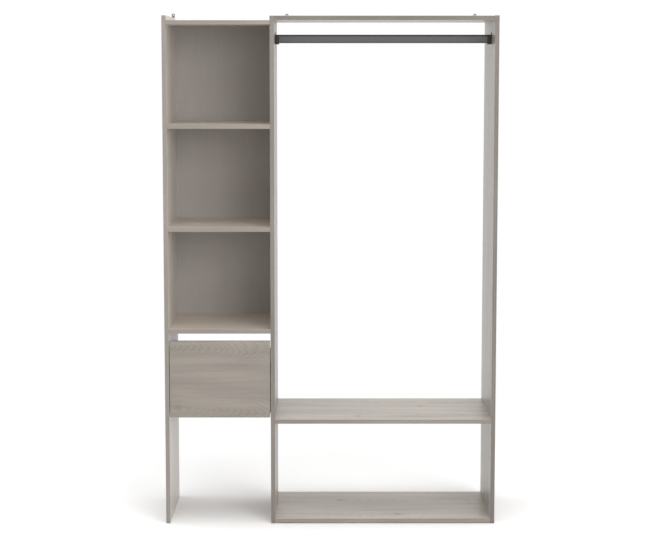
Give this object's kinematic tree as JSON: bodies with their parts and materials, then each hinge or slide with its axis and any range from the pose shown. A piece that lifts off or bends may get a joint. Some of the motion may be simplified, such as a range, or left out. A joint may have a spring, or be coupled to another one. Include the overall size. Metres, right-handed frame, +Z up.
{
  "type": "open-front wardrobe",
  "caption": "Open-front wardrobe in grey oak board: a narrow tower of niches with a drawer beside an open hanging bay with a dark rail, a bench shelf and a base board.",
  "frame": {"origin": "on the floor, in the middle of the overall box", "axes": "+Z up, +X to the right as seen from the front, the front faces -Y"},
  "size_m": [1.173, 0.4238, 1.817],
  "materials": {
    "grey_oak": "matt melamine with a printed grey oak grain, edges banded to match",
    "back_sheet": "thin hardboard, printed grey oak on its front and raw brown behind",
    "drawer_board": "smooth grey paper foil",
    "drawer_sheet": "thin hardboard, grey above",
    "rail_enamel": "satin anthracite enamel on steel tube",
    "support_plastic": "fine moulded black",
    "runner_plastic": "smooth extruded white",
    "zinc_plate": "bright zinc plating",
    "dark_screw": "black zinc",
    "beech": "plain turned beech"
  },
  "bodies": {
    "carcass": {"back_panel_nails": "zinc_plate", "base_board": "grey_oak", "bench_shelf": "grey_oak", "cam_bolts": "zinc_plate", "cam_locks": "zinc_plate", "carcass_dowels": "beech", "hanging_rail": "rail_enamel", "hanging_top_board": "grey_oak", "left_side_panel": "grey_oak", "middle_panel": "grey_oak", "rail_support_screws": "dark_screw", "rail_supports": "support_plastic", "right_side_panel": "grey_oak", "runner_left": "runner_plastic", "runner_right": "runner_plastic", "runner_screws": "zinc_plate", "tower_back_panel": "back_sheet", "tower_floor_shelf": "grey_oak", "tower_shelf_lower": "grey_oak", "tower_shelf_upper": "grey_oak", "tower_top_board": "grey_oak", "wall_bracket_screws": "zinc_plate", "wall_brackets": "zinc_plate"},
    "drawer": {"drawer_front": "grey_oak", "drawer_side_left": "drawer_board", "drawer_side_right": "drawer_board", "drawer_back": "drawer_board", "drawer_bottom": "drawer_sheet", "drawer_dowels": "beech", "drawer_cam_bolts": "zinc_plate", "drawer_cam_locks": "zinc_plate", "drawer_screws": "zinc_plate"}
  },
  "joints": [
    {"name": "drawer_slide", "type": "slide", "parent": "carcass", "child": "drawer", "axis": [0, -1, 0], "range_m": [0, 0.29]}
  ]
}
